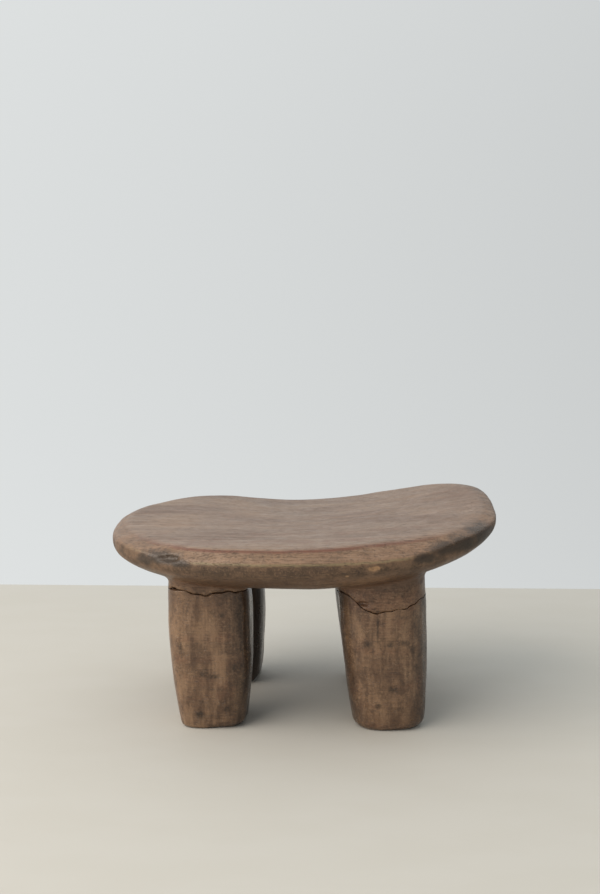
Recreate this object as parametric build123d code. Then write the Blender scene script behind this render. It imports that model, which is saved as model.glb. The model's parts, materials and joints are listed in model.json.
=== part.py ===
"""A four-legged carved wooden headrest whose legs were broken off and set back.

The dished seat keeps a short stub of each leg, because the whole thing was cut from
one block. Each leg broke across the grain at its neck and was put back on a hidden
dowel with a film of glue, so the seat, the legs, the dowels and the glue films are
separate pieces. Millimetres, +Z up, origin on the ground under the middle of the seat.
"""

from build123d import *
import math
import os

# ---- seat: a thick slab, dished along its length, with upswept ends ----
SEAT_LENGTH = 287.0
SEAT_DEPTH = 208.0
DISH_HEIGHT = 138.6  # top surface at the bottom of the dish
DISH_SHIFT = -20.0  # the dish bottoms out a little left of the middle
DISH_RISE_LEFT = 2.7  # how far the left end stands above the dish
DISH_RISE_RIGHT = 18.2
DISH_SOFTNESS = 1.5  # a small value makes the dish's ends straighter
TWIST_LEFT = 6.6  # the back corner of an end stands this much above its middle
TWIST_RIGHT = 13.0
BACK_SWELL = 3.8  # a hump in the top over the back edge, towards the left end
BACK_SWELL_SHIFT = -80.0
BACK_SWELL_REACH = 38.0
SEAT_THICKNESS = 32.2  # under the bottom of the dish
UNDERSIDE_RISE_LEFT = 11.3
UNDERSIDE_RISE_RIGHT = 31.8
OUTLINE_POWER_FRONT_LEFT = 2.6  # 2 is an ellipse, larger is squarer
OUTLINE_POWER_FRONT_RIGHT = 2.2
OUTLINE_POWER_BACK_LEFT = 2.2
OUTLINE_POWER_BACK_RIGHT = 3.4
TOP_EDGE_RADIUS = 7.0
BOTTOM_EDGE_RADIUS = 10.0

# ---- legs: rounded-square posts that swell at mid height ----
FRONT_LEG_INSET = 58.0  # from the seat's front edge to the middle of a front foot
REAR_LEG_INSET = 50.0
LEFT_LEG_INSET = 79.6  # from the seat's left end to the middle of the front left foot
RIGHT_LEG_INSET = 80.0
REAR_LEGS_CLOSER = 3.4  # each rear leg stands this much further from its end
LEFT_LEAN = -3.7  # how far the leg's top is shifted in X from its foot
RIGHT_LEAN = -7.8
REAR_RAKE = -6.0  # the rear legs' tops lean towards the front
LEFT_FOOT_WIDTH = 46.8
LEFT_BELLY_WIDTH = 59.4
LEFT_NECK_WIDTH = 55.0
RIGHT_FOOT_WIDTH = 51.8
RIGHT_BELLY_WIDTH = 61.6
RIGHT_NECK_WIDTH = 64.4
LEG_DEPTH_SHARE = 0.94  # a leg is this much thinner front to back than it is wide
LEFT_SQUARENESS = 4.0
RIGHT_SQUARENESS = 3.0
FOOT_EDGE_RADIUS = 3.0
LEG_SINK = 14.0  # how far a leg's sections run up into the seat, to join with it

# ---- breaks, glue and dowels ----
LEFT_STUB_LENGTH = 3.9  # what stayed on the seat, from its underside to the break
RIGHT_STUB_LENGTH = 12.4
LEFT_BREAK_WAVE = 1.5
RIGHT_BREAK_WAVE = 4.5  # the right-hand breaks dip deeper under the middle
BREAK_WAVELENGTH = 70.0
GLUE_THICKNESS = 0.4
GLUE_INSET = 2.0  # the glue stops short of the surface, so the crack shows open
DOWEL_DIAMETER = 12.0
DOWEL_LENGTH = 50.0
DOWEL_CLEARANCE = 0.1
DOWEL_END_GAP = 1.5
DOWEL_CHAMFER = 1.0

SEAT_HALF_LENGTH = SEAT_LENGTH / 2
SEAT_HALF_DEPTH = SEAT_DEPTH / 2
UNDERSIDE_HEIGHT = DISH_HEIGHT - SEAT_THICKNESS
TOOL_MARGIN = 12.0  # cutting surfaces run this far past what they cut
TALL = DISH_HEIGHT + DISH_RISE_RIGHT + TWIST_RIGHT + 4 * TOOL_MARGIN


class Leg:
    """The sizes of one leg, picked by the side and the end of the seat it stands under."""

    def __init__(self, end, side):
        left = side == "left"
        front = end == "front"
        self.name = f"{end}_{side}"
        inset = (LEFT_LEG_INSET if left else RIGHT_LEG_INSET) + (0 if front else REAR_LEGS_CLOSER)
        self.x = inset - SEAT_HALF_LENGTH if left else SEAT_HALF_LENGTH - inset
        self.y = FRONT_LEG_INSET - SEAT_HALF_DEPTH if front else SEAT_HALF_DEPTH - REAR_LEG_INSET
        self.lean = LEFT_LEAN if left else RIGHT_LEAN
        self.rake = 0 if front else REAR_RAKE
        self.foot = LEFT_FOOT_WIDTH if left else RIGHT_FOOT_WIDTH
        self.belly = LEFT_BELLY_WIDTH if left else RIGHT_BELLY_WIDTH
        self.neck = LEFT_NECK_WIDTH if left else RIGHT_NECK_WIDTH
        self.squareness = LEFT_SQUARENESS if left else RIGHT_SQUARENESS
        self.break_height = UNDERSIDE_HEIGHT - (LEFT_STUB_LENGTH if left else RIGHT_STUB_LENGTH)
        self.wave = LEFT_BREAK_WAVE if left else RIGHT_BREAK_WAVE
        self.top = UNDERSIDE_HEIGHT + LEG_SINK

    def width(self, share):
        """Width at a share of the height: foot, belly half way up and neck on one curve."""
        foot_term = self.foot * (1 - share) * (1 - 2 * share)
        belly_term = self.belly * 4 * share * (1 - share)
        neck_term = self.neck * share * (2 * share - 1)
        return foot_term + belly_term + neck_term

    def centre(self, height):
        """Centre of the leg's section at a height."""
        share = height / self.top
        return (self.x + self.lean * share, self.y + self.rake * share)

    def break_surface(self, x, y):
        """Height of the torn face, a shallow trough with a ripple along the grain."""
        centre_x, centre_y = self.centre(self.break_height)
        across = math.cos(2 * math.pi * (x - centre_x) / BREAK_WAVELENGTH)
        along = math.sin(2 * math.pi * (y - centre_y) / BREAK_WAVELENGTH)
        return self.break_height - self.wave * across + 0.3 * self.wave * along


LEGS = [Leg(end, side) for end in ("front", "rear") for side in ("left", "right")]


def swept(x, left_rise, right_rise):
    """Rise of a curve that is level in the middle and reaches a given rise at each end."""
    return (right_rise if x > 0 else left_rise) * (x / SEAT_HALF_LENGTH) ** 2


def dish(x):
    """Rise of the top above the bottom of the dish."""
    right = x > DISH_SHIFT
    reach = SEAT_HALF_LENGTH - DISH_SHIFT if right else SEAT_HALF_LENGTH + DISH_SHIFT
    share = abs(x - DISH_SHIFT) / reach
    rise = DISH_RISE_RIGHT if right else DISH_RISE_LEFT
    return rise * (1 + DISH_SOFTNESS) * share**2 / (share + DISH_SOFTNESS)


def twist(x, y):
    """Extra height towards the back corners of the two ends."""
    return swept(x, TWIST_LEFT, TWIST_RIGHT) * y / SEAT_HALF_DEPTH


def back_swell(x, y):
    """A low hump over the back edge that fades towards the front."""
    across = (x - BACK_SWELL_SHIFT) / BACK_SWELL_REACH
    along = (1 + y / SEAT_HALF_DEPTH) / 2
    return BACK_SWELL * math.exp(-(across**2)) * along**2


def top_height(x, y):
    """Height of the dished top surface."""
    return DISH_HEIGHT + dish(x) + twist(x, y) + back_swell(x, y)


def underside_height(x, y):
    """Height of the underside, nearly flat between the legs and rising to the ends."""
    return UNDERSIDE_HEIGHT + swept(x, UNDERSIDE_RISE_LEFT, UNDERSIDE_RISE_RIGHT) + twist(x, y)


def grid_face(height, centre, half_x, half_y, columns, rows):
    """A smooth spline face over a rectangle, with its height given by a formula."""
    points = []
    for row in range(rows):
        y = centre[1] + half_y * (2 * row / (rows - 1) - 1)
        line = []
        for column in range(columns):
            x = centre[0] + half_x * (2 * column / (columns - 1) - 1)
            line.append((x, y, height(x, y)))
        points.append(line)
    return Face.make_surface_from_array_of_points(points, tol=0.02, min_deg=3, max_deg=3)


def squared_ring(half_x, half_y, power_at, count):
    """Points round a closed curve between an ellipse and a rectangle."""
    ring = []
    for step in range(count):
        angle = 2 * math.pi * (step + 0.5) / count
        across = math.cos(angle)
        along = math.sin(angle)
        power = power_at(across, along)
        reach = (abs(across) ** power + abs(along) ** power) ** (-1 / power)
        ring.append((half_x * across * reach, half_y * along * reach))
    return ring


def seat_power(across, along):
    """Squareness of the seat's plan towards a direction from its middle."""
    right_share = (across + 1) / 2
    back_share = (along + 1) / 2
    front = OUTLINE_POWER_FRONT_LEFT * (1 - right_share) + OUTLINE_POWER_FRONT_RIGHT * right_share
    back = OUTLINE_POWER_BACK_LEFT * (1 - right_share) + OUTLINE_POWER_BACK_RIGHT * right_share
    return front + (back - front) * back_share


def slab_edges(slab, on_top):
    """The long edges round the slab's top or underside."""
    chosen = []
    for edge in slab.edges():
        middle = edge @ 0.5
        half_way = (top_height(middle.X, middle.Y) + underside_height(middle.X, middle.Y)) / 2
        if edge.length > SEAT_LENGTH and (middle.Z > half_way) == on_top:
            chosen.append(edge)
    return chosen


def make_slab():
    """The seat without its leg stubs: the plan prism cut to the top and underside."""
    outline = squared_ring(SEAT_HALF_LENGTH, SEAT_HALF_DEPTH, seat_power, 40)
    prism = extrude(make_face(Spline(*outline, periodic=True)), amount=TALL)
    reach = (SEAT_HALF_LENGTH + TOOL_MARGIN, SEAT_HALF_DEPTH + TOOL_MARGIN)
    above = extrude(grid_face(top_height, (0, 0), *reach, 17, 9), amount=TALL, dir=(0, 0, 1))
    below = extrude(grid_face(underside_height, (0, 0), *reach, 17, 9), amount=TALL, dir=(0, 0, -1))
    slab = prism - above - below
    slab = fillet(slab_edges(slab, on_top=True), TOP_EDGE_RADIUS)
    return fillet(slab_edges(slab, on_top=False), BOTTOM_EDGE_RADIUS)


def leg_section(leg, height, inset=0.0):
    """One closed section of a leg, drawn in smaller when an inset is given."""
    half_x = leg.width(height / leg.top) / 2 - inset
    half_y = half_x * LEG_DEPTH_SHARE
    ring = squared_ring(half_x, half_y, lambda across, along: leg.squareness, 24)
    face = make_face(Spline(*ring, periodic=True))
    centre_x, centre_y = leg.centre(height)
    return Pos(centre_x, centre_y, height) * face


def make_post(leg, inset=0.0):
    """The whole leg from the ground up into the seat, before it broke."""
    shares = (0.0, 0.2, 0.4, 0.6, 0.8, 1.0)
    return loft([leg_section(leg, leg.top * share, inset) for share in shares])


def break_tool(leg, lift, direction):
    """A block whose face is the leg's torn surface, raised by lift, filling one side."""
    centre = leg.centre(leg.break_height)
    half = max(leg.belly, leg.neck) / 2 + TOOL_MARGIN
    face = grid_face(leg.break_surface, centre, half, half, 13, 13)
    return extrude(Pos(0, 0, lift) * face, amount=TALL, dir=(0, 0, direction))


def dowel_axis(leg):
    """Middle of a leg's dowel, on the torn face at the leg's own centre."""
    centre_x, centre_y = leg.centre(leg.break_height)
    return Pos(centre_x, centre_y, leg.break_surface(centre_x, centre_y))


def make_dowel(leg):
    """A plain turned pin with both ends chamfered."""
    pin = Cylinder(DOWEL_DIAMETER / 2, DOWEL_LENGTH)
    pin = chamfer(pin.edges().filter_by(GeomType.CIRCLE), DOWEL_CHAMFER)
    return dowel_axis(leg) * pin


def make_dowel_hole(leg):
    """The drilled hole for the dowel, half in the leg and half in the stub."""
    radius = DOWEL_DIAMETER / 2 + DOWEL_CLEARANCE
    return dowel_axis(leg) * Cylinder(radius, DOWEL_LENGTH + 2 * DOWEL_END_GAP)


def make_leg(leg):
    """The broken-off leg, with its foot edge rounded and its hole drilled."""
    lower = make_post(leg) - break_tool(leg, -GLUE_THICKNESS / 2, 1)
    foot_edges = lower.edges().filter_by(lambda edge: (edge @ 0.5).Z < FOOT_EDGE_RADIUS)
    lower = fillet([edge for edge in foot_edges if edge.is_closed], FOOT_EDGE_RADIUS)
    return lower - make_dowel_hole(leg)


def make_stub(leg):
    """What stayed on the seat above the break."""
    return make_post(leg) - break_tool(leg, GLUE_THICKNESS / 2, -1)


def make_glue(leg):
    """The glue film between the two torn faces, with the dowel passing through it."""
    film = make_post(leg, GLUE_INSET) - break_tool(leg, GLUE_THICKNESS / 2, 1)
    film = film - break_tool(leg, -GLUE_THICKNESS / 2, -1)
    return film - make_dowel_hole(leg)


def make_seat():
    """The slab with its four stubs grown on and drilled for the dowels."""
    seat = make_slab()
    for leg in LEGS:
        seat = seat + make_stub(leg)
    for leg in LEGS:
        seat = seat - make_dowel_hole(leg)
    return seat


def write_part(name, shape):
    """Write one piece to its own file and print what it measures."""
    box = shape.bounding_box()
    print(name, round(shape.volume), [round(value, 1) for value in (*box.min, *box.max)])
    export_step(shape, f"parts/{name}.step")


os.makedirs("parts", exist_ok=True)
write_part("seat", make_seat())
for leg in LEGS:
    write_part(f"{leg.name}_leg", make_leg(leg))
    write_part(f"{leg.name}_glue", make_glue(leg))
    write_part(f"{leg.name}_dowel", make_dowel(leg))
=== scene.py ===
# %% [markdown]
# # A carved headrest with mended legs
# This lesson builds the visible surfaces of a small four-legged headrest. It was cut
# from one block of dense brown wood and rubbed smooth by use. The grain runs along the
# seat, so it crosses the legs, and that is where they broke: each leg snapped off
# under the seat and was set back on a hidden dowel with glue. The plain workshop model
# is loaded first. It fixes every size and place, and keeps the dowels and glue films.

import json
import math

import bpy
import mathutils
import numpy as np
import openvdb
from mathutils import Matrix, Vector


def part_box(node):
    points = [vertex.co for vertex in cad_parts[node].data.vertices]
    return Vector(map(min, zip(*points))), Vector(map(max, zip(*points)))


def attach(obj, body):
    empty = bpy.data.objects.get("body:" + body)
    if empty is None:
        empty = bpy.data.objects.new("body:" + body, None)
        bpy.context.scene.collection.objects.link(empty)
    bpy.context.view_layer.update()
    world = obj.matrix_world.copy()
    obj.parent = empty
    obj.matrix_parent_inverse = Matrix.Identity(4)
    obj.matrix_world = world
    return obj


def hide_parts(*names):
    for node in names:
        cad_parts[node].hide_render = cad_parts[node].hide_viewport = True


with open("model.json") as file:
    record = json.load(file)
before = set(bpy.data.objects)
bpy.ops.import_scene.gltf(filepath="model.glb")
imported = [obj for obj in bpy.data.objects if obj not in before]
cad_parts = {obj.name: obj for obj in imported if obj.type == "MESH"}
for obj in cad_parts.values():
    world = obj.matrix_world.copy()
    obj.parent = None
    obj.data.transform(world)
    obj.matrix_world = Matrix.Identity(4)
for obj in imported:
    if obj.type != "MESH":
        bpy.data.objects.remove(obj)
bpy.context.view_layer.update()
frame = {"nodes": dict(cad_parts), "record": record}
print("nodes:", sorted(frame["nodes"]))

# %% [markdown]
# ## Sizes of the seat
# The shaping is done in millimetres, because that is how a carver thinks, and turned
# into metres at the end. The overall sizes come from the workshop model. The rest say
# how the top is dished along its length, wound at its ends and swollen at the back.

# %% Sizes of the seat
MM = 0.001
seat_low, seat_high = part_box("seat")
HALF_LENGTH = (seat_high.x - seat_low.x) / 2 / MM
HALF_DEPTH = (seat_high.y - seat_low.y) / 2 / MM

DISH_HEIGHT = 138.6
DISH_SHIFT = -20.0
DISH_RISE_LEFT = 2.7
DISH_RISE_RIGHT = 18.2
DISH_SOFTNESS = 1.5
TWIST_LEFT = 6.6
TWIST_RIGHT = 13.0
BACK_SWELL = 3.8
BACK_SWELL_X = -80.0
BACK_SWELL_REACH = 38.0
UNDERSIDE_HEIGHT = 106.4
UNDERSIDE_RISE_LEFT = 11.3
UNDERSIDE_RISE_RIGHT = 31.8
PLAN_POWERS = {"front_left": 2.6, "front_right": 2.2, "back_left": 2.2, "back_right": 3.4}
print("seat half length and half depth, mm:", round(HALF_LENGTH, 1), round(HALF_DEPTH, 1))

# %% [markdown]
# ## One formula, two users
# The torn faces of a break fit each other, so the stub on the seat and the leg below it
# have to share one formula. The seat is worked out with numpy arrays, and the legs with
# Geometry Nodes. `Field` lets the same lines of Python serve both: on a field, every
# plus or times adds a Math node to the tree instead of a number.

# %% Adding nodes, and writing formulas with them
def add_node(tree, kind, settings=None, links=None):
    """Add a node, set its properties, and link or set its inputs."""
    node = tree.nodes.new(kind)
    for name, value in (settings or {}).items():
        setattr(node, name, value)
    for name, source in (links or {}).items():
        if isinstance(source, Field):
            source = source.socket
        if isinstance(source, bpy.types.NodeSocket):
            tree.links.new(source, node.inputs[name])
        else:
            node.inputs[name].default_value = source
    return node


class Field:
    """A number that varies over a surface, so that a formula can be written plainly."""

    def __init__(self, tree, socket):
        self.tree = tree
        self.socket = socket

    def calc(self, operation, *others):
        """One Math node, with this field first and the others after it."""
        links = dict(enumerate((self, *others)))
        node = add_node(self.tree, "ShaderNodeMath", {"operation": operation}, links)
        return Field(self.tree, node.outputs[0])

    def __add__(self, other):
        return self.calc("ADD", other)

    def __sub__(self, other):
        return self.calc("SUBTRACT", other)

    def __rsub__(self, other):
        return self.calc("MULTIPLY", -1.0).calc("ADD", other)

    def __mul__(self, other):
        return self.calc("MULTIPLY", other)

    def __truediv__(self, other):
        return self.calc("DIVIDE", other)

    def __rtruediv__(self, other):
        return self.calc("POWER", -1.0).calc("MULTIPLY", other)

    def __pow__(self, other):
        return self.calc("POWER", other)

    def __abs__(self):
        return self.calc("ABSOLUTE")

    __radd__ = __add__
    __rmul__ = __mul__


def sine(value):
    """The sine of a field, a number or an array."""
    return value.calc("SINE") if isinstance(value, Field) else np.sin(value)


def ramp(value, start, end):
    """0 up to start, 1 from end on, and a straight slope between."""
    share = (value - start) / (end - start)
    if isinstance(share, Field):
        return share.calc("MAXIMUM", 0.0).calc("MINIMUM", 1.0)
    return np.clip(share, 0.0, 1.0)


def eased(share):
    """The same share, starting and ending gently."""
    return share * share * (3.0 - 2.0 * share)


# %% [markdown]
# ## The legs' sizes
# Each leg is a rounded-square post, narrow at the foot, swelling half way up, with a
# slight lean. A foot's place is the workshop model's own mount. The functions take
# either a leg's numbers or, inside the node tree, sockets of the same names. In this
# lesson a pair of numbers called a fade says where a change starts and where it ends.

# %% Sizes of the legs
FOOT_AT = {m["name"]: m["pos_m"] for m in frame["record"]["mounts"] if m["name"].endswith("_foot")}
LEG_DEPTH_SHARE = 0.94
NECK_HEIGHT = 110.0
BREAK_WAVELENGTH = 70.0
TROUGH_SLANT = 0.3
LIP_FADE = (10.0, 24.0)
COARSE_SPLINTERS = 1.1
COARSE_BEND = 1.4
COARSE_PITCH = (4.6, 6.1)
FINE_SPLINTERS = 0.5
FINE_PITCH = (1.7, 2.3)
SPLINTER_FADE = (0.84, 1.0)
CRACK_HALF_WIDTH = 0.2
CRACK_CHANGE = 0.11
CRACK_CLOSING = 0.1
CRACK_PITCH = (5.3, 3.7)
CRACK_FADE = (0.93, 1.0)
LEG_SIZES = (
    "x", "y", "lean", "rake", "foot", "belly", "neck", "squareness", "foot_round",
    "worn_corner", "break_height", "break_wave", "break_lip",
)


class Leg:
    """The sizes of one leg, in millimetres. Lean and rake shift the neck off the foot."""

    def __init__(self, name):
        left = "left" in name
        self.name = name
        self.x = FOOT_AT[name + "_foot"][0] / MM
        self.y = FOOT_AT[name + "_foot"][1] / MM
        self.lean = -3.4 if left else -7.1
        self.rake = -5.5 if "rear" in name else 0.0
        self.foot = 46.8 if left else 51.8
        self.belly = 59.0 if left else 61.0
        self.neck = 56.8 if left else 64.0
        self.squareness = 4.0 if left else 2.7
        self.foot_round = 2.5 if left else 5.0
        self.worn_corner = 5.0 if left else 3.0
        self.break_height = 102.5 if left else 94.0
        self.break_wave = 1.5 if left else 4.5
        self.break_lip = 0.0 if left else 3.5


def leg_width(leg, share):
    """Width at a share of the neck's height: foot, belly and neck lie on one curve."""
    foot_term = leg.foot * (1.0 - share) * (1.0 - 2.0 * share)
    belly_term = leg.belly * 4.0 * share * (1.0 - share)
    neck_term = leg.neck * share * (2.0 * share - 1.0)
    return foot_term + belly_term + neck_term


def leg_centre(leg, share):
    """The middle of the leg at a share of the neck's height."""
    return leg.x + leg.lean * share, leg.y + leg.rake * share


def leg_spread(leg, x, y, share):
    """0 on a leg's axis and 1 on its side, at a share of the neck's height."""
    half = leg_width(leg, share) / 2.0
    centre_x, centre_y = leg_centre(leg, share)
    across = abs(x - centre_x) / half
    along = abs(y - centre_y) / (half * LEG_DEPTH_SHARE)
    return (across**leg.squareness + along**leg.squareness) ** (1.0 / leg.squareness)


def torn_height(leg, x, y):
    """Height of the torn face: a trough, ragged where it meets the air."""
    share = leg.break_height / NECK_HEIGHT
    centre_x, centre_y = leg_centre(leg, share)
    turn = 2.0 * math.pi / BREAK_WAVELENGTH
    across = sine((x - centre_x) * turn + math.pi / 2.0)
    along = sine((y - centre_y) * turn)
    trough = leg.break_wave * (TROUGH_SLANT * along - across)
    lip = leg.break_lip * eased(ramp(centre_x - x, *LIP_FADE))
    bend = COARSE_BEND * sine(y / COARSE_PITCH[1])
    coarse = COARSE_SPLINTERS * sine(x / COARSE_PITCH[0] + bend)
    fine = FINE_SPLINTERS * sine(x / FINE_PITCH[0] + y / FINE_PITCH[1])
    edge = ramp(leg_spread(leg, x, y, share), *SPLINTER_FADE)
    return leg.break_height + trough + edge * (lip + (coarse + fine))


def half_crack(leg, x, y):
    """Half the width of the crack: even over the glue, uneven and closer at the surface."""
    edge = ramp(leg_spread(leg, x, y, leg.break_height / NECK_HEIGHT), *CRACK_FADE)
    change = CRACK_CHANGE * sine(x / CRACK_PITCH[0] + y / CRACK_PITCH[1])
    return CRACK_HALF_WIDTH + edge * (change - CRACK_CLOSING)


LEGS = [Leg(name) for name in ("front_left", "front_right", "rear_left", "rear_right")]
print("feet, mm:", [(leg.name, round(leg.x, 1), round(leg.y, 1)) for leg in LEGS])

# %% [markdown]
# ## The seat as a distance field
# The stubs grow out of the underside with no seam, only a soft inside corner. Edge
# loops could be modelled by hand, but a distance field gives it for free: a block of
# numbers, negative inside the wood, in which two shapes flow together when their
# numbers are blended. First come the plan outline and the swept surfaces.

# %% The sweep of the seat
def plan_inset(x, y):
    """Distance in from the seat's outline, seen from above."""
    across = x / HALF_LENGTH
    along = y / HALF_DEPTH
    radius = np.hypot(across, along) + 1e-9
    across, along = across / radius, along / radius
    right = eased((across + 1.0) / 2.0)
    back = (along + 1.0) / 2.0
    left_power = PLAN_POWERS["front_left"] * (1 - back) + PLAN_POWERS["back_left"] * back
    right_power = PLAN_POWERS["front_right"] * (1 - back) + PLAN_POWERS["back_right"] * back
    power = left_power * (1 - right) + right_power * right
    reach = (np.abs(across) ** power + np.abs(along) ** power) ** (1.0 / power)
    return (1.0 - radius * reach) * np.hypot(HALF_LENGTH * across, HALF_DEPTH * along)


def twist(x, y):
    """The ends are wound a little, so their back corners stand higher."""
    amount = np.where(x > 0, TWIST_RIGHT, TWIST_LEFT)
    return amount * (x / HALF_LENGTH) ** 2 * y / HALF_DEPTH


def top_height(x, y):
    """The dish: level at its lowest point and sweeping up to each end."""
    right = x > DISH_SHIFT
    full = np.where(right, HALF_LENGTH - DISH_SHIFT, HALF_LENGTH + DISH_SHIFT)
    rise = np.where(right, DISH_RISE_RIGHT, DISH_RISE_LEFT)
    share = np.abs(x - DISH_SHIFT) / full
    dish = rise * (1 + DISH_SOFTNESS) * share**2 / (share + DISH_SOFTNESS)
    across = (x - BACK_SWELL_X) / BACK_SWELL_REACH
    swell = BACK_SWELL * np.exp(-(across**2)) * ((1 + y / HALF_DEPTH) / 2) ** 2
    return DISH_HEIGHT + dish + twist(x, y) + swell


def underside_height(x, y):
    """The underside is nearly flat between the legs and rises to both ends."""
    rise = np.where(x > 0, UNDERSIDE_RISE_RIGHT, UNDERSIDE_RISE_LEFT)
    return UNDERSIDE_HEIGHT + rise * (x / HALF_LENGTH) ** 2 + twist(x, y)


# %% [markdown]
# The rim is not one plain round. A worn shoulder slopes down from the crisp edge of the
# top, the side bulges a little, and its lower part turns slowly under the seat.
# `rim_inset` draws that profile from the top edge (0) to the underside (1). Under the
# seat, each stub stops at its torn face, with half of the dowel's hole drilled up into
# it. Lengths are in millimetres, and shares are parts of the rim's height.

# %% The rim and the stubs
SHOULDER_WIDTH = 7.0
FRONT_WEAR = 1.5
LEFT_WEAR = 4.5
LEFT_WEAR_AT = (-100.0, 26.0)
RIGHT_WEAR = 7.0
RIGHT_WEAR_AT = (68.0, 38.0)
WEAR_FADE = (0.0, 50.0)
SHOULDER_SHARE = 0.27
SHOULDER_DROP = 0.006
END_NARROWING = 0.5
NARROWING_FADE = (75.0, 125.0)
NARROWING_FRONT = (5.0, 50.0)
PROFILE_ROUND = 2.0
CREASE_ROUND = 2.0
END_ROUND = 6.0
END_FADE = (85.0, 130.0)
TURN_WIDTH = 23.0
TURN_START = 0.36
TURN_POWER = 2.4
UNDERSIDE_ROUND = 6.0
STUB_BLEND = 7.0
STUB_SINK = 6.0
TORN_ROUND = 0.3
DOWEL_RADIUS = 6.1
DOWEL_REACH = 26.5


def soft_larger(a, b, blend):
    """The larger of two numbers, with the corner between them rounded."""
    overlap = np.maximum(blend - np.abs(a - b), 0.0) / blend
    return np.maximum(a, b) + overlap * overlap * blend / 4.0


def hump(value, middle, reach):
    """1 at a middle, fading to 0 on both sides."""
    return np.exp(-(((value - middle) / reach) ** 2))


def front_wear(x, y):
    """How much wider than elsewhere the shoulder is worn along the front."""
    front = eased(ramp(-y, *WEAR_FADE))
    left = LEFT_WEAR * hump(x, *LEFT_WEAR_AT)
    right = RIGHT_WEAR * hump(x, *RIGHT_WEAR_AT)
    return front * (FRONT_WEAR + left + right)


def shoulder_depth(x, y):
    """How far down the rim the shoulder reaches: it narrows towards both ends of the front."""
    at_end = eased(ramp(abs(x), *NARROWING_FADE))
    narrowing = 1.0 - END_NARROWING * at_end * eased(ramp(-y, *NARROWING_FRONT))
    return (SHOULDER_SHARE + SHOULDER_DROP * front_wear(x, y)) * narrowing


def rim_inset(x, y, share):
    """How far in from the outline the rim lies."""
    width = SHOULDER_WIDTH + front_wear(x, y)
    shoulder = width * (1.0 - share / shoulder_depth(x, y))
    turn = TURN_WIDTH * (np.maximum(share - TURN_START, 0.0) / (1.0 - TURN_START)) ** TURN_POWER
    return soft_larger(soft_larger(shoulder, turn, PROFILE_ROUND), 0.0 * share, PROFILE_ROUND)


def stub_distance(leg, x, y, z):
    """Distance out from a stub's side, cut off at the break and inside the seat."""
    share = z / NECK_HEIGHT
    side = (leg_spread(leg, x, y, share) - 1.0) * leg_width(leg, share) / 2.0
    torn = torn_height(leg, x, y) + half_crack(leg, x, y) - z
    inside_seat = z - NECK_HEIGHT - STUB_SINK
    return np.maximum(soft_larger(side, torn, TORN_ROUND), inside_seat)


def dowel_hole_distance(leg, x, y, z):
    """Distance out from the hole drilled up into a stub."""
    centre_x, centre_y = leg_centre(leg, leg.break_height / NECK_HEIGHT)
    side = np.hypot(x - centre_x, y - centre_y) - DOWEL_RADIUS
    return np.maximum(side, z - (leg.break_height - leg.break_wave + DOWEL_REACH))


# %% [markdown]
# Old knocks are subtracted as flattened balls: a chip and a fleck gone from the rim, a
# dent in the left end, and bites out of the stubs beside the cracks. Each has a middle
# and three half sizes, in millimetres.

# %% Old knocks in the seat
KNOCKS = {
    "pale_chip": ((51.7, -100.2, 126.4), (4.5, 1.8, 2.0)),
    "pale_fleck": ((32.1, -101.9, 121.1), (1.2, 1.0, 0.9)),
    "left_end_dent": ((-96.0, -89.5, 130.5), (13.0, 6.0, 3.4)),
    "left_crack_notch": ((-91.5, -71.0, 103.6), (3.4, 5.0, 1.8)),
    "left_crack_gap": ((-66.5, -75.0, 102.2), (7.0, 3.0, 1.1)),
    "right_crack_slope": ((43.0, -75.0, 95.2), (4.6, 3.5, 1.5)),
    "right_corner_bite": ((86.0, -70.0, 110.5), (3.0, 6.0, 2.4)),
    "rear_crack_bite": ((-38.0, 76.0, 104.0), (6.0, 5.0, 1.6)),
}
KNOCK_ROUND = 1.0
RIM_FIRMNESS = 0.75


def knock_distance(middle, half_sizes, x, y, z):
    """Distance out from a flattened ball."""
    offsets = [(value - at) / half for value, at, half in zip((x, y, z), middle, half_sizes)]
    radius = np.sqrt(offsets[0] ** 2 + offsets[1] ** 2 + offsets[2] ** 2)
    return (radius - 1.0) * min(half_sizes)


def seat_distance(x, y, z):
    """Distance out from the whole seat, negative inside the wood."""
    top = top_height(x, y)
    underside = underside_height(x, y)
    side = rim_inset(x, y, (top - z) / (top - underside)) - plan_inset(x, y)
    at_end = eased(ramp(abs(x), *END_FADE))
    crease_round = CREASE_ROUND + (END_ROUND - CREASE_ROUND) * at_end
    wood = soft_larger(z - top, side * RIM_FIRMNESS, crease_round)
    wood = soft_larger(wood, underside - z, UNDERSIDE_ROUND)
    for leg in LEGS:
        wood = -soft_larger(-wood, -stub_distance(leg, x, y, z), STUB_BLEND)
    for leg in LEGS:
        wood = np.maximum(wood, -dowel_hole_distance(leg, x, y, z))
    for middle, half_sizes in KNOCKS.values():
        wood = soft_larger(wood, -knock_distance(middle, half_sizes, x, y, z), KNOCK_ROUND)
    return wood


# %% [markdown]
# The block of numbers is sampled a little finer than the smallest cut of a knife.
# OpenVDB, which comes with Blender, then draws the surface through it as even quads.

# %% Draw the surface through the field
VOXEL = 1.33
FIELD_MARGIN = 4.0
SEAT_LOWEST = 80.0


def add_piece(name, points, faces):
    """Make a smooth mesh object from points in millimetres."""
    mesh = bpy.data.meshes.new(name)
    mesh.from_pydata(points * MM, [], faces)
    mesh.shade_smooth()
    piece = bpy.data.objects.new(name, mesh)
    bpy.context.scene.collection.objects.link(piece)
    return piece


def keep_attribute(piece, name, values):
    """Store one number for each point of a mesh."""
    attribute = piece.data.attributes.new(name, "FLOAT", "POINT")
    attribute.data.foreach_set("value", np.asarray(values, dtype=np.float32))


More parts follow.
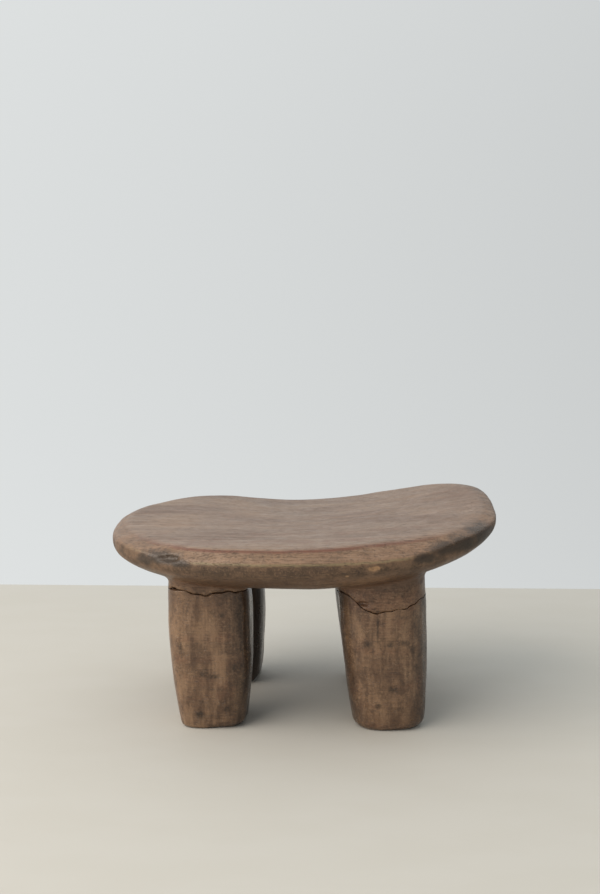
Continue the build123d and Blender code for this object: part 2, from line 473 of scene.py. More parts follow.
def carve_seat():
    """Sample the distance field and draw the seat through it."""
    low = np.array([-HALF_LENGTH, -HALF_DEPTH, SEAT_LOWEST]) - FIELD_MARGIN
    high = np.array([HALF_LENGTH, HALF_DEPTH, seat_high.z / MM]) + FIELD_MARGIN
    axes = [np.arange(low[i], high[i], VOXEL) for i in range(3)]
    x, y, z = np.meshgrid(*axes, indexing="ij", sparse=True)
    field = np.clip(seat_distance(x, y, z), -FIELD_MARGIN, FIELD_MARGIN)
    grid = openvdb.FloatGrid(FIELD_MARGIN)
    grid.copyFromArray(field.astype(np.float32))
    points, quads = grid.convertToQuads(0.0)
    return points * VOXEL + low, quads


seat_points, seat_quads = carve_seat()
seat = add_piece("carved_seat", seat_points, seat_quads.tolist())
print("seat:", len(seat_points), "points,", 2 * len(seat_quads), "triangles")

# %% [markdown]
# ## Where the seat's finish changes
# The mesh keeps a few numbers at each point, for the finish and the tools. `rim_depth`
# says how far down the rim a point lies, with the shoulder's lower edge always at about
# the same value. `front_band` is 1 along the front and 0 at the ends and the back.
# `stain` marks old oil at both ends of the front, `bare_wood` the fresh chips, and
# `reachable` the surfaces that a carver's tool could touch. A stain is a flattened ball
# too, with a middle and three half sizes.

# %% Numbers kept on the seat
SEAT_STAINS = [
    ((-97.0, -85.0, 130.0), (15.0, 14.0, 5.0)),
    ((-108.0, -76.0, 127.0), (9.0, 12.0, 4.0)),
    ((-84.0, -92.0, 127.5), (8.0, 10.0, 2.5)),
    ((101.0, -81.0, 137.0), (13.0, 14.0, 5.0)),
    ((112.0, -70.0, 139.0), (12.0, 14.0, 6.0)),
    ((127.0, -52.0, 142.0), (13.0, 20.0, 8.0)),
    ((86.0, -89.0, 131.5), (11.0, 10.0, 4.0)),
    ((88.0, -74.0, 112.0), (6.0, 8.0, 5.0)),
]
STAIN_REACH = 0.5
FRONT_FADE = (20.0, 50.0)
LEFT_END_FADE = (-132.0, -95.0)
RIGHT_END_FADE = (-115.0, -70.0)
STUB_REGION = 1.2
TORN_FADE = (1.0, 4.0)
HOLE_FADE = (0.5, 3.0)
CHIP_FADE = (0.9, 0.2)


def seat_stain_amount(x, y, z):
    """How dark old oil has made each point of the rim: 1 in a stain, 0 away from it."""
    amount = np.zeros(len(x))
    for middle, half_sizes in SEAT_STAINS:
        distance = knock_distance(middle, half_sizes, x, y, z) / min(half_sizes)
        amount = np.maximum(amount, np.clip(STAIN_REACH - distance, 0.0, 1.0))
    return amount


seat_x, seat_y, seat_z = seat_points.T
seat_top = top_height(seat_x, seat_y)
rim_depth = (seat_top - seat_z) / (seat_top - underside_height(seat_x, seat_y))
reachable = np.ones(len(seat_points))
for leg in LEGS:
    torn_gap = np.abs(seat_z - torn_height(leg, seat_x, seat_y))
    inside = leg_spread(leg, seat_x, seat_y, leg.break_height / NECK_HEIGHT) < STUB_REGION
    hole = dowel_hole_distance(leg, seat_x, seat_y, seat_z)
    reachable *= np.where(inside, ramp(torn_gap, *TORN_FADE), 1.0) * ramp(hole, *HOLE_FADE)
front_band = ramp(-seat_y, *FRONT_FADE)
front_band *= ramp(seat_x, *LEFT_END_FADE) * ramp(-seat_x, *RIGHT_END_FADE)
shoulder_end = shoulder_depth(seat_x, seat_y)
on_shoulder = SHOULDER_SHARE * rim_depth / shoulder_end
under_shoulder = 1.0 - (1.0 - rim_depth) * (1.0 - SHOULDER_SHARE) / (1.0 - shoulder_end)
rim_depth = np.where(rim_depth < shoulder_end, on_shoulder, under_shoulder)
bare_wood = np.zeros(len(seat_points))
for knock in ("pale_chip", "pale_fleck"):
    knocked_off = knock_distance(*KNOCKS[knock], seat_x, seat_y, seat_z)
    bare_wood = np.maximum(bare_wood, ramp(knocked_off, *CHIP_FADE))
keep_attribute(seat, "bare_wood", bare_wood)
keep_attribute(seat, "rim_depth", rim_depth)
keep_attribute(seat, "front_band", front_band)
keep_attribute(seat, "reachable", reachable)
seat_stain = seat_stain_amount(seat_x, seat_y, seat_z)
keep_attribute(seat, "stain", seat_stain)
print("stained points:", int((seat_stain > 0).sum()))

# %% [markdown]
# ## The leg as a rule
# A leg is one sheet wrapped into a post: columns of the sheet run round it, and its rows
# run out over the sole, up the side, in over the torn face and down the dowel hole.
# That is a rule, so Geometry Nodes draw it, with every size as a named input. One tree
# then makes all four legs.

# %% Rows of the sheet
COLUMNS = 300
SOLE_ROWS = 14
SIDE_ROWS = 160
TORN_ROWS = 26
HOLE_ROWS = 10
FLOOR_ROWS = 4
MERGE_DISTANCE = 0.01 * MM
ROW_ENDS = np.cumsum([SOLE_ROWS, SIDE_ROWS, TORN_ROWS, HOLE_ROWS, FLOOR_ROWS]).tolist()
print("rows end at:", ROW_ENDS)

# %% [markdown]
# The tree below writes those five stretches as slopes from 0 to 1 along the rows: out,
# climb, inward, sink and close. A point's place follows from them and from the leg's
# sizes, and the open seam of the sheet is merged at the end.

# %% The leg's node tree
WORN_CORNER_FADE = (0.6, 1.4)


class LegSockets:
    """A leg's sizes as sockets of a node tree, under the names that a Leg has."""

    def __init__(self, tree, group_input):
        for size in LEG_SIZES:
            setattr(self, size, Field(tree, group_input.outputs[socket_label(size)]))


def socket_label(size):
    """How a leg's size is written on the node tree's inputs."""
    return size.replace("_", " ").capitalize()


def new_node_tree(name, numbers):
    """A Geometry Nodes tree with a geometry and named numbers coming in."""
    tree = bpy.data.node_groups.new(name, "GeometryNodeTree")
    geometry = "NodeSocketGeometry"
    tree.interface.new_socket("Geometry", in_out="INPUT", socket_type=geometry)
    for label in numbers:
        tree.interface.new_socket(label, in_out="INPUT", socket_type="NodeSocketFloat")
    tree.interface.new_socket("Finish", in_out="INPUT", socket_type="NodeSocketMaterial")
    tree.interface.new_socket("Geometry", in_out="OUTPUT", socket_type=geometry)
    return tree


def finish_tree(tree, geometry, material):
    """End a tree as plain mesh with its material."""
    real = add_node(tree, "GeometryNodeRealizeInstances", links={"Geometry": geometry})
    painted = add_node(
        tree, "GeometryNodeSetMaterial", links={"Geometry": real.outputs[0], "Material": material}
    )
    add_node(tree, "NodeGroupOutput", links={"Geometry": painted.outputs[0]})


def build_leg_tree():
    """The wrapped sheet of a leg. All sizes are in millimetres."""
    tree = new_node_tree("carved_leg", [socket_label(size) for size in LEG_SIZES])
    group = add_node(tree, "NodeGroupInput")
    leg = LegSockets(tree, group)
    last_row = ROW_ENDS[-1]
    counts = {"Vertices X": COLUMNS + 1, "Vertices Y": last_row + 1}
    sheet = add_node(tree, "GeometryNodeMeshGrid", links={"Size X": 1.0, "Size Y": 1.0, **counts})
    place = add_node(tree, "GeometryNodeInputPosition")
    split = add_node(tree, "ShaderNodeSeparateXYZ", links={0: place.outputs[0]})
    turn = (Field(tree, split.outputs[0]) + 0.5) * (2.0 * math.pi)
    row = (Field(tree, split.outputs[1]) + 0.5) * last_row

    out = ramp(row, 0, ROW_ENDS[0])
    climb = ramp(row, ROW_ENDS[0], ROW_ENDS[1])
    inward = ramp(row, ROW_ENDS[1], ROW_ENDS[2])
    sink = ramp(row, ROW_ENDS[2], ROW_ENDS[3])
    close = ramp(row, ROW_ENDS[3], ROW_ENDS[4])
    on_torn_face = ramp(row, ROW_ENDS[1], ROW_ENDS[1] + 1)

    cosine = turn.calc("COSINE")
    sine_of_turn = sine(turn)
    corner = abs(cosine) ** leg.squareness + abs(sine_of_turn) ** leg.squareness
    reach = corner ** (-1.0 / leg.squareness)

    def ring(share, inset):
        """A point of the leg's outline, at a share of the neck's height."""
        half = (leg_width(leg, share) / 2.0 - inset) * reach
        centre_x, centre_y = leg_centre(leg, share)
        ring_x = centre_x + half * cosine * out
        ring_y = centre_y + half * LEG_DEPTH_SHARE * sine_of_turn * out
        return ring_x, ring_y

    break_share = leg.break_height / NECK_HEIGHT
    edge_x, edge_y = ring(break_share, 0.0)
    edge_z = torn_height(leg, edge_x, edge_y) - half_crack(leg, edge_x, edge_y)
    side_z = climb * edge_z
    front_right = ramp(cosine - sine_of_turn, *WORN_CORNER_FADE)
    edge_round = leg.foot_round + leg.worn_corner * eased(front_right)
    below = (edge_round - side_z).calc("MAXIMUM", 0.0)
    inset = edge_round - (edge_round * edge_round - below * below).calc("SQRT")
    side_x, side_y = ring(side_z / NECK_HEIGHT, inset)

    hole_x, hole_y = leg_centre(leg, break_share)
    hole_radius = DOWEL_RADIUS * (1.0 - close)
    x = side_x + (hole_x + cosine * hole_radius - side_x) * inward
    y = side_y + (hole_y + sine_of_turn * hole_radius - side_y) * inward
    torn_z = torn_height(leg, x, y) - half_crack(leg, x, y)
    floor_z = leg.break_height - leg.break_wave - DOWEL_REACH
    z = side_z + (torn_z - side_z) * on_torn_face
    z = z + (floor_z - z) * sink

    point = add_node(tree, "ShaderNodeCombineXYZ", links={0: x * MM, 1: y * MM, 2: z * MM})
    links = {"Geometry": sheet.outputs["Mesh"], "Position": point.outputs[0]}
    wrapped = add_node(tree, "GeometryNodeSetPosition", links=links)
    links = {"Geometry": wrapped.outputs[0], "Distance": MERGE_DISTANCE}
    closed = add_node(tree, "GeometryNodeMergeByDistance", links=links)
    smooth = add_node(tree, "GeometryNodeSetShadeSmooth", links={"Geometry": closed.outputs[0]})
    finish_tree(tree, smooth.outputs[0], group.outputs["Finish"])
    return tree


leg_tree = build_leg_tree()
print("leg tree:", len(leg_tree.nodes), "nodes")

# %% [markdown]
# ## The wood
# One block of dense brown wood, such as iroko or a rosewood, shaped with an adze and a
# knife, then darkened by smoke, oil and years of hands. The grain is drawn in the
# block's own coordinates, so it runs straight through the seat and across the legs. Each
# pattern has its real size in millimetres along X, Y and Z, and then how much fine
# detail it holds. A wash is a mask and a tint, and washes are laid in the order given.

# %% Colours and patterns of the wood
def linear(hex_colour):
    """An sRGB hex colour as linear red, green, blue and alpha."""
    channels = [int(hex_colour[i : i + 2], 16) / 255 for i in (1, 3, 5)]
    values = [c / 12.92 if c <= 0.04045 else ((c + 0.055) / 1.055) ** 2.4 for c in channels]
    return (*values, 1.0)


SEAT_RELIEF = 0.25 * MM
LEG_RELIEF = 0.3 * MM
TURNED_RELIEF = 0.1 * MM
GLUE_RELIEF = 0.1 * MM
WOOD_IOR = 1.5
WOOD_PATTERNS = {
    "grain": ((60.0, 1.3, 1.3), 6.0),
    "figure": ((120.0, 9.0, 9.0), 5.0),
    "streaks": ((240.0, 6.0, 6.0), 4.0),
    "mottle": ((10.0, 8.0, 9.0), 6.0),
    "broad": ((70.0, 34.0, 34.0), 4.0),
    "scraping": ((2.2, 2.2, 24.0), 6.0),
    "smears": ((8.0, 8.0, 30.0), 6.0),
    "veins": ((4.0, 4.0, 7.0), 6.0),
    "pores": ((6.0, 0.5, 0.5), 1.0),
    "speckle": ((1.5, 1.5, 1.5), 3.0),
}


def wood_patterns(tree):
    """A noise field for each pattern of the wood."""
    place = add_node(tree, "ShaderNodeTexCoord")
    patterns = {}
    for name, (size, detail) in WOOD_PATTERNS.items():
        scale = [1.0 / (length * MM) for length in size]
        links = {"Vector": place.outputs["Object"], "Scale": scale}
        mapped = add_node(tree, "ShaderNodeMapping", links=links)
        noise_links = {"Vector": mapped.outputs[0], "Scale": 1.0, "Detail": detail}
        noise = add_node(tree, "ShaderNodeTexNoise", links=noise_links)
        patterns[name] = Field(tree, noise.outputs[0])
    return patterns


def lay_colours(tree, base, layers):
    """Lay thin washes of colour over a base, each through its own mask."""
    colour = linear(base)
    for mask, tint in layers:
        links = {"Factor": mask, 6: colour, 7: linear(tint)}
        mixed = add_node(tree, "ShaderNodeMix", {"data_type": "RGBA"}, links)
        colour = mixed.outputs[2]
    return colour


def aged_brown_layers(p):
    """What age gave the whole block: soft patches, dirt in fine veins, paler rubbed specks."""
    thin_veins = ramp(p["veins"], 0.53, 0.6) * (1.0 - ramp(p["veins"], 0.6, 0.66))
    return [
        (ramp(p["broad"], 0.46, 0.62) * 0.55, "#84684e"),
        (ramp(p["broad"], 0.48, 0.36) * 0.55, "#4c3728"),
        (ramp(p["figure"], 0.5, 0.64) * 0.35, "#6a4431"),
        (ramp(p["mottle"], 0.52, 0.66) * 0.35, "#473426"),
        (ramp(p["mottle"], 0.45, 0.32) * 0.3, "#8f745a"),
        (thin_veins * 0.5, "#38281c"),
        (ramp(p["grain"], 0.53, 0.66) * 0.35, "#3f2c1f"),
        (ramp(p["grain"], 0.47, 0.36) * 0.2, "#96795e"),
        (ramp(p["speckle"], 0.56, 0.68) * 0.35, "#3a2a1e"),
        (ramp(p["speckle"], 0.42, 0.32) * 0.25, "#9c8167"),
    ]


def finish_surface(tree, colour, roughness, relief, relief_depth):
    """Join colour, roughness and fine relief in one Principled surface."""
    bump_links = {"Height": relief, "Distance": relief_depth, "Strength": 1.0}
    bump = add_node(tree, "ShaderNodeBump", links=bump_links)
    links = {"Base Color": colour, "Roughness": roughness, "Normal": bump.outputs[0]}
    surface = add_node(tree, "ShaderNodeBsdfPrincipled", links={**links, "IOR": WOOD_IOR})
    add_node(tree, "ShaderNodeOutputMaterial", links={"Surface": surface.outputs[0]})


def new_material(name):
    """An empty material, ready for nodes."""
    material = bpy.data.materials.new(name)
    material.use_nodes = True
    material.node_tree.nodes.clear()
    return material


# %% [markdown]
# ### The seat's finish
# Hand-rubbed hardwood. The top is polished by use, and faces that point up are laid paler and
# greyer: partly a film of pale dust, partly painted sheen. Below its crisp edge comes a
# red-brown shoulder with long streaks, a tan strip where hands hold it, a thin olive line of
# old oil, a dark rough side, and a reddish turn under the seat that is darkened as painted
# shade. The bands follow the numbers stored on the mesh, and paler wood shows where a chip
# is fresh.

# %% Material: hand-rubbed seat
def hand_rubbed_seat_wood():
    """Dense wood, adzed and rubbed by use: satin where touched, rough and dark below.

    Dust and painted sheen are laid on the top, and painted shade where the rim turns under.
    """
    material = new_material("hand_rubbed_seat_wood")
    tree = material.node_tree
    p = wood_patterns(tree)
    stored = {}
    for name in ("rim_depth", "front_band", "stain", "bare_wood"):
        attribute = add_node(tree, "ShaderNodeAttribute", {"attribute_name": name})
        stored[name] = Field(tree, attribute.outputs["Fac"])
    depth, front, stain, bare = stored.values()
    geometry = add_node(tree, "ShaderNodeNewGeometry")
    normal = add_node(tree, "ShaderNodeSeparateXYZ", links={0: geometry.outputs["Normal"]})
    up = Field(tree, normal.outputs[2])

    wavy = depth + (p["mottle"] - 0.5) * 0.06 + (p["figure"] - 0.5) * 0.08
    on_slab = 1.0 - ramp(depth, 0.98, 1.1)
    red_crease = front * ramp(wavy, 0.0, 0.02) * (1.0 - ramp(wavy, 0.04, 0.08))
    shoulder = ramp(wavy, 0.0, 0.05) * (1.0 - ramp(wavy, 0.22, 0.28))
    olive_line = front * ramp(wavy, 0.25, 0.28) * (1.0 - ramp(wavy, 0.29, 0.33)) * (1.0 - stain)
    dark_side = ramp(wavy, 0.29, 0.35) * (1.0 - ramp(wavy, 0.5, 0.72))
    # Painted shade and red tone: the rim is laid darker and redder where it turns under the seat.
    underside_red_and_painted_shade = ramp(wavy, 0.75, 0.95) * (1.0 - ramp(wavy, 1.02, 1.15))
    # Dust and painted sheen: faces that point up are laid paler and greyer.
    top = ramp(up, 0.8, 0.95) * (1.0 - ramp(depth, 0.02, 0.06))
    stained = ramp(stain + (p["speckle"] - 0.5) * 0.7 + (p["mottle"] - 0.5) * 0.9, 0.25, 0.85)
    layers = aged_brown_layers(p) + [
        (on_slab * ramp(p["figure"], 0.52, 0.38) * 0.5, "#57402e"),
        (on_slab * ramp(p["figure"], 0.52, 0.66) * 0.5, "#8d7159"),
        (shoulder * ramp(p["grain"], 0.46, 0.6) * 0.5, "#957a63"),
        (red_crease * 0.85, "#653a29"),
        (olive_line * ramp(p["figure"], 0.35, 0.5) * 0.6, "#85795a"),
        (dark_side * (0.35 + 0.55 * ramp(p["mottle"], 0.42, 0.58)), "#453424"),
        (dark_side * ramp(p["speckle"], 0.52, 0.66) * 0.5, "#7d634b"),
        # Painted shade, together with the wood's own red, where the rim turns under.
        (underside_red_and_painted_shade * 0.45, "#64452f"),
        # Dust and painted sheen on the faces that point up.
        (top * (0.45 + 0.25 * ramp(p["broad"], 0.4, 0.6)), "#857263"),
        (top * ramp(p["broad"], 0.49, 0.36) * 0.4, "#705644"),
        (top * ramp(p["broad"], 0.54, 0.68) * 0.3, "#94765a"),
        (top * ramp(p["streaks"], 0.5, 0.38) * 0.22, "#6a5040"),
        (top * ramp(p["streaks"], 0.52, 0.66) * 0.22, "#a08b7c"),
        (top * ramp(p["grain"], 0.46, 0.34) * 0.3, "#5f4838"),
        (top * ramp(p["grain"], 0.56, 0.68) * 0.3, "#a8948a"),
        (ramp(p["pores"], 0.58, 0.7) * 0.5, "#2b1c13"),
        (stained * 0.8, "#2d2319"),
        (ramp(bare + (p["speckle"] - 0.5) * 1.2 + (p["mottle"] - 0.5), 0.35, 0.9) * 0.7, "#a8845f"),
    ]
    colour = lay_colours(tree, "#6c523d", layers)
    roughness = 0.39 + (p["mottle"] - 0.5) * 0.3 + dark_side * 0.2 + top * 0.04 - stained * 0.12
    relief = p["grain"] * 0.5 + p["speckle"] * (0.25 + 0.7 * dark_side)
    relief = relief - ramp(p["pores"], 0.6, 0.72) * 0.7
    finish_surface(tree, colour, roughness, relief, SEAT_RELIEF)
    return material


# %% [markdown]
# ### The legs' finish
# The same wood, scraped upright with a knife and less handled. Long soft strokes run up
# the legs over the cross grain, with darker patches of oil and a few nearly black marks.
# The marks are stored on the mesh as `stain`, because each sits at a place of its own; the
# same value also carries painted shade on the legs' sides and the rear legs' front faces.

# %% Material: scraped leg
def scraped_leg_wood():
    """Dense wood scraped upright with a knife, oiled and darkened: a soft satin."""
    material = new_material("scraped_leg_wood")
    tree = material.node_tree
    p = wood_patterns(tree)
    attribute = add_node(tree, "ShaderNodeAttribute", {"attribute_name": "stain"})
    stain = Field(tree, attribute.outputs["Fac"])
    # The stored stain on a leg also holds painted shade on its sides and front faces, laid near black.
    ragged_stain_and_shade = ramp(stain * (0.4 + 1.2 * p["speckle"]) + (p["mottle"] - 0.5) * 0.6, 0.3, 1.15)
    layers = aged_brown_layers(p) + [
        (ramp(p["smears"], 0.5, 0.64) * 0.5, "#473325"),
        (ramp(p["smears"], 0.48, 0.36) * 0.5, "#8d7157"),
        (ramp(p["scraping"], 0.54, 0.68) * 0.3, "#8f745b"),
        (ramp(p["scraping"], 0.46, 0.34) * 0.25, "#463223"),
        (ramp(p["pores"], 0.6, 0.72) * 0.35, "#2a1b12"),
        (ragged_stain_and_shade * 0.85, "#1f150d"),
    ]
    colour = lay_colours(tree, "#684f3b", layers)
    roughness = 0.31 + (p["mottle"] - 0.5) * 0.35 + (p["speckle"] - 0.5) * 0.2
    relief = p["scraping"] * 0.6 + p["veins"] * 0.4 + p["speckle"] * 0.35
    relief = relief - ramp(p["pores"], 0.6, 0.72) * 0.4
    finish_surface(tree, colour, roughness, relief, LEG_RELIEF)
    return material


# %% [markdown]
# ### The hidden repair
# Each leg was set back on a turned beech dowel, pale and straight grained because it
# never saw light. Hide glue was brushed on the torn faces. It dries to a brown, glassy
# film that crazes and gathers dust where it meets the air.

# %% Material: turned dowel and glue
def turned_beech():
    """Bare turned beech: pale, straight grained and matt."""
    material = new_material("turned_beech")
    tree = material.node_tree
    p = wood_patterns(tree)
    layers = [
        (ramp(p["scraping"], 0.4, 0.7), "#b8925f"),
        (ramp(p["speckle"], 0.6, 0.7) * 0.5, "#96703f"),
    ]
    colour = lay_colours(tree, "#c9a878", layers)
    finish_surface(tree, colour, 0.55 + p["speckle"] * 0.1, p["scraping"], TURNED_RELIEF)
    return material


def dried_hide_glue():
    """Dried hide glue: brown, brittle and glassy, with dull dusty patches."""
    material = new_material("dried_hide_glue")
    tree = material.node_tree
    p = wood_patterns(tree)
    layers = [
        (ramp(p["mottle"], 0.4, 0.6), "#2c170a"),
        (ramp(p["speckle"], 0.55, 0.7) * 0.4, "#6a4526"),
    ]
    colour = lay_colours(tree, "#43260f", layers)
    finish_surface(tree, colour, 0.2 + p["mottle"] * 0.3, p["mottle"], GLUE_RELIEF)
    return material


seat_wood = hand_rubbed_seat_wood()
leg_wood = scraped_leg_wood()
dowel_wood = turned_beech()
glue = dried_hide_glue()
print("materials:", [m.name for m in (seat_wood, leg_wood, dowel_wood, glue)])

# %% [markdown]
# ## The carver's hand
# A knife or an adze leaves shallow facets: each stroke is a long dimple, and the ridges
# between strokes catch the light. A second tree gives every piece those strokes, with
# inputs for how long they run along X, Y and Z, plus slow waves where the eye, not a
# ruler, judged the surface. It only moves points where the tool could reach.

# %% The tool-mark tree
TOOL_INPUTS = ("Stroke x", "Stroke y", "Stroke z", "Stroke depth", "Wave depth", "Wave size", "Seed")
WOBBLE_SCALE = 0.8
RIDGE_SOFTNESS = 0.25


def build_tool_mark_tree():
    """Shallow strokes and slow waves, pressed in along the normal."""
    tree = new_node_tree("tool_marks", TOOL_INPUTS)
    group = add_node(tree, "NodeGroupInput")
    n = {label: Field(tree, group.outputs[label]) for label in TOOL_INPUTS}
    place = add_node(tree, "GeometryNodeInputPosition")
    links = {0: place.outputs[0], "Scale": 1.0 / MM}
    millimetres = add_node(tree, "ShaderNodeVectorMath", {"operation": "SCALE"}, links)
    links = {0: n["Stroke x"], 1: n["Stroke y"], 2: n["Stroke z"]}
    sizes = add_node(tree, "ShaderNodeCombineXYZ", links=links)
    links = {0: millimetres.outputs[0], 1: sizes.outputs[0]}
    cells = add_node(tree, "ShaderNodeVectorMath", {"operation": "DIVIDE"}, links)

    links = {"Vector": cells.outputs[0], "W": n["Seed"], "Scale": WOBBLE_SCALE, "Detail": 1.0}
    wobble = add_node(tree, "ShaderNodeTexNoise", {"noise_dimensions": "4D"}, links)
    links = {0: cells.outputs[0], 1: wobble.outputs["Color"]}
    bent = add_node(tree, "ShaderNodeVectorMath", {"operation": "ADD"}, links)
    settings = {"voronoi_dimensions": "4D", "feature": "SMOOTH_F1"}
    links = {"Vector": bent.outputs[0], "W": n["Seed"], "Scale": 1.0, "Smoothness": RIDGE_SOFTNESS}
    strokes = add_node(tree, "ShaderNodeTexVoronoi", settings, links)
    wave_scale = 1.0 / n["Wave size"]
    links = {"Vector": millimetres.outputs[0], "W": n["Seed"], "Scale": wave_scale, "Detail": 1.0}
    waves = add_node(tree, "ShaderNodeTexNoise", {"noise_dimensions": "4D"}, links)

    dimple = Field(tree, strokes.outputs["Distance"])
    stroke_height = (dimple * dimple - 0.5) * n["Stroke depth"]
    wave_height = (Field(tree, waves.outputs[0]) - 0.5) * n["Wave depth"]
    settings = {"data_type": "FLOAT"}
    reach = add_node(tree, "GeometryNodeInputNamedAttribute", settings, {"Name": "reachable"})
    height = (stroke_height + wave_height) * Field(tree, reach.outputs[0]) * MM
    normal = add_node(tree, "GeometryNodeInputNormal")
    links = {0: normal.outputs[0], "Scale": height}
    push = add_node(tree, "ShaderNodeVectorMath", {"operation": "SCALE"}, links)
    links = {"Geometry": group.outputs["Geometry"], "Offset": push.outputs[0]}
    moved = add_node(tree, "GeometryNodeSetPosition", links=links)
    finish_tree(tree, moved.outputs[0], group.outputs["Finish"])
    return tree


def apply_tree(piece, tree, numbers, material):
    """Run a node tree on a piece, and keep its result as a plain mesh."""
    modifier = piece.modifiers.new(tree.name, "NODES")
    modifier.node_group = tree
    items = tree.interface.items_tree
    sockets = {item.name: item.identifier for item in items if item.in_out == "INPUT"}
    for label, value in numbers.items():
        modifier[sockets[label]] = float(value)
    modifier[sockets["Finish"]] = material
    evaluated = piece.evaluated_get(bpy.context.evaluated_depsgraph_get())
    mesh = bpy.data.meshes.new_from_object(evaluated)
    piece.modifiers.clear()
    piece.data = mesh
    return piece


tool_mark_tree = build_tool_mark_tree()
print("tool-mark tree:", len(tool_mark_tree.nodes), "nodes")

# %% [markdown]
# The seat was rubbed along its length, so its strokes are long along X and nearly gone.

# %% Tool marks on the seat
SEAT_STROKES = {
    "Stroke x": 34.0, "Stroke y": 13.0, "Stroke z": 9.0,
    "Stroke depth": 0.35, "Wave depth": 1.4, "Wave size": 42.0, "Seed": 3.0,
}
apply_tree(seat, tool_mark_tree, SEAT_STROKES, seat_wood)
print("seat after tool marks:", len(seat.data.vertices), "points")

# %% [markdown]
# ## Four legs
# Each leg comes out of the leg tree, gets its stains and painted shade, and then upright
# knife strokes. A mark is a soft spot on a leg's outer face: its place across and up, then
# its half width and half height, in millimetres. The front legs' sides and the rear legs'
# faces toward the front are laid darker all over as painted shade.

# %% Stains and painted shade on the legs
STAINS = {
    "front_left": [
        (-56, 86, 2.5, 2), (-86, 62, 1.5, 4), (-70, 43, 3, 2), (-62, 41, 3.5, 1.6), (-48, 47, 2, 3),
        (-52, 16, 3, 2), (-73, 12, 4, 3),
    ],
    "front_right": [
        (73, 67, 3.5, 2), (63, 66, 2.5, 2), (47, 66, 3, 2), (79, 62, 2, 3), (65, 33, 3, 2), (55, 20, 2.5, 2),
        (54, 77, 0.8, 8),
    ],
    "rear_left": [(-45, 70, 3, 2), (-70, 30, 3, 4), (-52, 84, 2, 2)],
    "rear_right": [(60, 60, 3, 3), (72, 34, 3, 2), (45, 80, 2, 3)],
}
MARK_STRENGTH = 1.2
MARK_FALL = 0.6
# Painted shade: the rear legs' faces toward the front and the front legs' sides are laid darker.
REAR_FACE_PAINTED_SHADE = 1.4
REAR_FACE_SHADE_FADE = (-0.6, 0.7)
SIDE_PAINTED_SHADE = 0.9
LEFT_LEG_SIDE_SHADE_FADE = (0.15, 0.85)
RIGHT_LEG_SIDE_SHADE_FADE = (0.4, 0.95)
SIDE_REGION = 0.8
SOLE_FADE = (0.5, 5.0)
FIRST_LEG_SEED = 10.0
KNIFE_STROKES = {
    "Stroke x": 9.0, "Stroke y": 9.0, "Stroke z": 46.0,
    "Stroke depth": 0.7, "Wave depth": 2.0, "Wave size": 34.0,
}


def leg_stain_and_shade_amount(leg, x, y, z):
    """How dark a leg is at each point: painted shade on shaded faces; marks are 1 in the middle, 0 away."""
    front = leg.y < 0
    half = leg_width(leg, z / NECK_HEIGHT) / 2.0
    centre_x, centre_y = leg_centre(leg, z / NECK_HEIGHT)
    across = (x - centre_x) / half
    along = (y - centre_y) / (half * LEG_DEPTH_SHARE)
    if not front:
        # Painted shade: a rear leg is laid darker on its faces toward the front.
        amount = REAR_FACE_PAINTED_SHADE * ramp(-along, *REAR_FACE_SHADE_FADE)
    elif leg.x < 0:
        # Painted shade: the left front leg is laid darker on its right side, the right front leg on both
        # sides.
        amount = SIDE_PAINTED_SHADE * ramp(across, *LEFT_LEG_SIDE_SHADE_FADE)
    else:
        amount = SIDE_PAINTED_SHADE * ramp(abs(across), *RIGHT_LEG_SIDE_SHADE_FADE)
    outer_face = (y < leg.y) if front else (y > leg.y)
    for mark_x, mark_z, half_width, half_height in STAINS[leg.name]:
        radius = np.hypot((x - mark_x) / half_width, (z - mark_z) / half_height)
        amount = np.maximum(amount, np.clip(MARK_STRENGTH - radius * MARK_FALL, 0.0, 1.0) * outer_face)
    return amount


def carve_leg(leg, seed):
    """One leg: its wrapped sheet, its stains and painted shade, then its knife strokes."""
    name = leg.name + "_post"
    piece = add_piece(name, np.zeros((1, 3)), [])
    numbers = {socket_label(size): getattr(leg, size) for size in LEG_SIZES}
    apply_tree(piece, leg_tree, numbers, leg_wood)
    points = np.empty(len(piece.data.vertices) * 3)
    piece.data.vertices.foreach_get("co", points)
    x, y, z = points.reshape(-1, 3).T / MM
    below_break = torn_height(leg, x, y) - z
    on_side = leg_spread(leg, x, y, z / NECK_HEIGHT) > SIDE_REGION
    # The stored stain also holds the leg's painted shade.
    keep_attribute(piece, "stain", leg_stain_and_shade_amount(leg, x, y, z))
    reachable = ramp(below_break, *TORN_FADE) * ramp(z, *SOLE_FADE) * on_side
    keep_attribute(piece, "reachable", reachable)
    apply_tree(piece, tool_mark_tree, {**KNIFE_STROKES, "Seed": seed}, leg_wood)
    print(name, len(piece.data.polygons), "faces")
    return piece


leg_posts = {leg.name: carve_leg(leg, FIRST_LEG_SEED + i) for i, leg in enumerate(LEGS)}

# %% [markdown]
# ## Riding on the workshop model
# Nothing here moves, so every piece rides on the one body. The carved pieces stand for
# the plain ones, while the dowels and glue films stay and get their own materials.

# %% Hand over the pieces
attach(seat, "root")
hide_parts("seat")
for name, piece in leg_posts.items():
    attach(piece, "root")
    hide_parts(name + "_leg")
for name, node in frame["nodes"].items():
    if name.endswith(("_dowel", "_glue")):
        node.data.materials.clear()
        node.data.materials.append(dowel_wood if name.endswith("_dowel") else glue)
print("carved pieces:", 1 + len(leg_posts))

# %% [markdown]
# ## The table
# A plain pale table top, level with the feet, ends a little behind the headrest, and the
# pale room shows beyond it.

# %% Table
TABLE_BACK = 0.346
TABLE_REACH = 2.5
TABLE_ROUGHNESS = 0.75
TABLE_RELIEF = 0.02 * MM


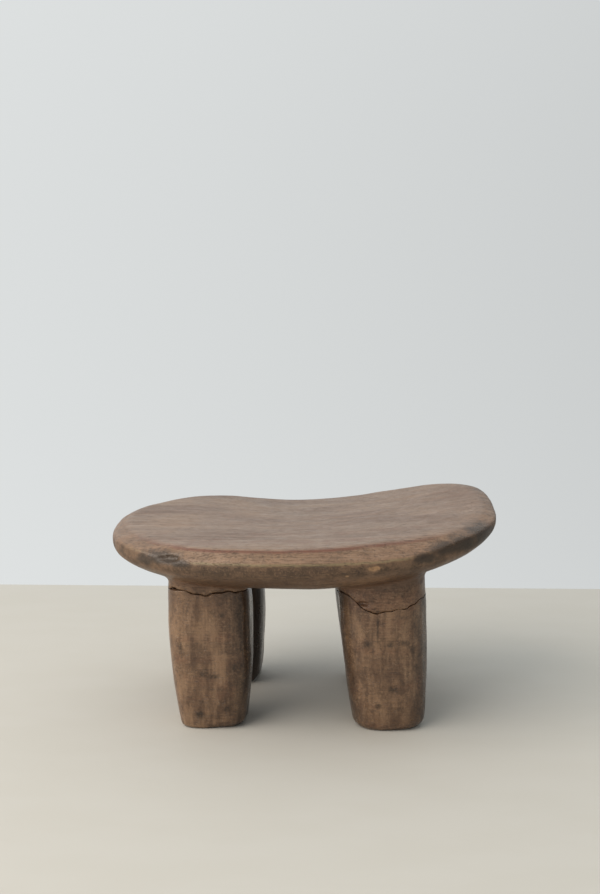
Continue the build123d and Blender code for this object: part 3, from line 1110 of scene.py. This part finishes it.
def matt_painted_board():
    """Matt painted board: nearly white, with the faintest unevenness."""
    material = new_material("matt_painted_board")
    tree = material.node_tree
    p = wood_patterns(tree)
    colour = lay_colours(tree, "#bfbdb6", [(ramp(p["broad"], 0.4, 0.6) * 0.15, "#b7b4aa")])
    finish_surface(tree, colour, TABLE_ROUGHNESS, p["speckle"], TABLE_RELIEF)
    return material


corners = [
    (-TABLE_REACH, -TABLE_REACH, 0.0),
    (TABLE_REACH, -TABLE_REACH, 0.0),
    (TABLE_REACH, TABLE_BACK, 0.0),
    (-TABLE_REACH, TABLE_BACK, 0.0),
]
table = add_piece("table_top", np.array(corners) / MM, [(0, 1, 2, 3)])
table.data.materials.append(matt_painted_board())
print("table back edge, m:", TABLE_BACK)

# %% [markdown]
# ## Light
# A large soft light stands at the left and a little in front, as from a window. The
# room is pale: brightest towards the window and dimmer on the right and behind the
# camera, so that the wood's far sides fall into soft shade.

# %% Lights and room
MIDDLE = (0.0, 0.0, 0.08)
WINDOW_PLACE = (-1.4, -0.95, 1.2)
WINDOW_SIZE = 2.2
WINDOW_POWER = 46.0
ROOM_BASE = 0.67
ROOM_RIGHT = -0.3
ROOM_BACK = 0.18
ROOM_UP = 0.65


def add_area_light(name, place, target, size, power, colour):
    """A soft square light that faces a target."""
    data = bpy.data.lights.new(name, "AREA")
    data.size = size
    data.energy = power
    data.color = linear(colour)[:3]
    light = bpy.data.objects.new(name, data)
    light.location = place
    facing = mathutils.Vector(target) - mathutils.Vector(place)
    light.rotation_euler = facing.to_track_quat("-Z", "Y").to_euler()
    bpy.context.scene.collection.objects.link(light)


def pale_room():
    """A pale room whose brightness changes slowly with direction."""
    world = bpy.data.worlds.new("pale_room")
    world.use_nodes = True
    tree = world.node_tree
    tree.nodes.clear()
    place = add_node(tree, "ShaderNodeTexCoord")
    split = add_node(tree, "ShaderNodeSeparateXYZ", links={0: place.outputs["Generated"]})
    right, back, up = (Field(tree, socket) for socket in split.outputs)
    strength = right * ROOM_RIGHT + back * ROOM_BACK + up * up * ROOM_UP + ROOM_BASE
    links = {"Color": linear("#e3e6e6"), "Strength": strength}
    background = add_node(tree, "ShaderNodeBackground", links=links)
    add_node(tree, "ShaderNodeOutputWorld", links={"Surface": background.outputs[0]})
    return world


add_area_light("window", WINDOW_PLACE, MIDDLE, WINDOW_SIZE, WINDOW_POWER, "#fff3e6")
bpy.context.scene.world = pale_room()
bpy.context.scene.view_settings.view_transform = "Standard"

# %% [markdown]
# ## Camera
# An upright view through an ordinary lens, from a little above and nearly square to the
# front. The angles are in degrees: how far the camera looks down, and how far it is
# turned to the left.

# %% Camera
CAMERA_PLACE = (0.02565, -0.92341, 0.32422)
CAMERA_DOWN = 7.899
CAMERA_HEADING = 1.774
LENS = 50.0
SENSOR = 36.0
camera_data = bpy.data.cameras.new("camera")
camera_data.lens = LENS
camera_data.sensor_width = SENSOR
camera_data.sensor_fit = "VERTICAL"
camera_data.sensor_height = SENSOR
camera = bpy.data.objects.new("camera", camera_data)
camera.location = CAMERA_PLACE
camera.rotation_euler = (math.radians(90.0 - CAMERA_DOWN), 0.0, math.radians(CAMERA_HEADING))
bpy.context.scene.collection.objects.link(camera)
bpy.context.scene.camera = camera
print("camera at", CAMERA_PLACE)
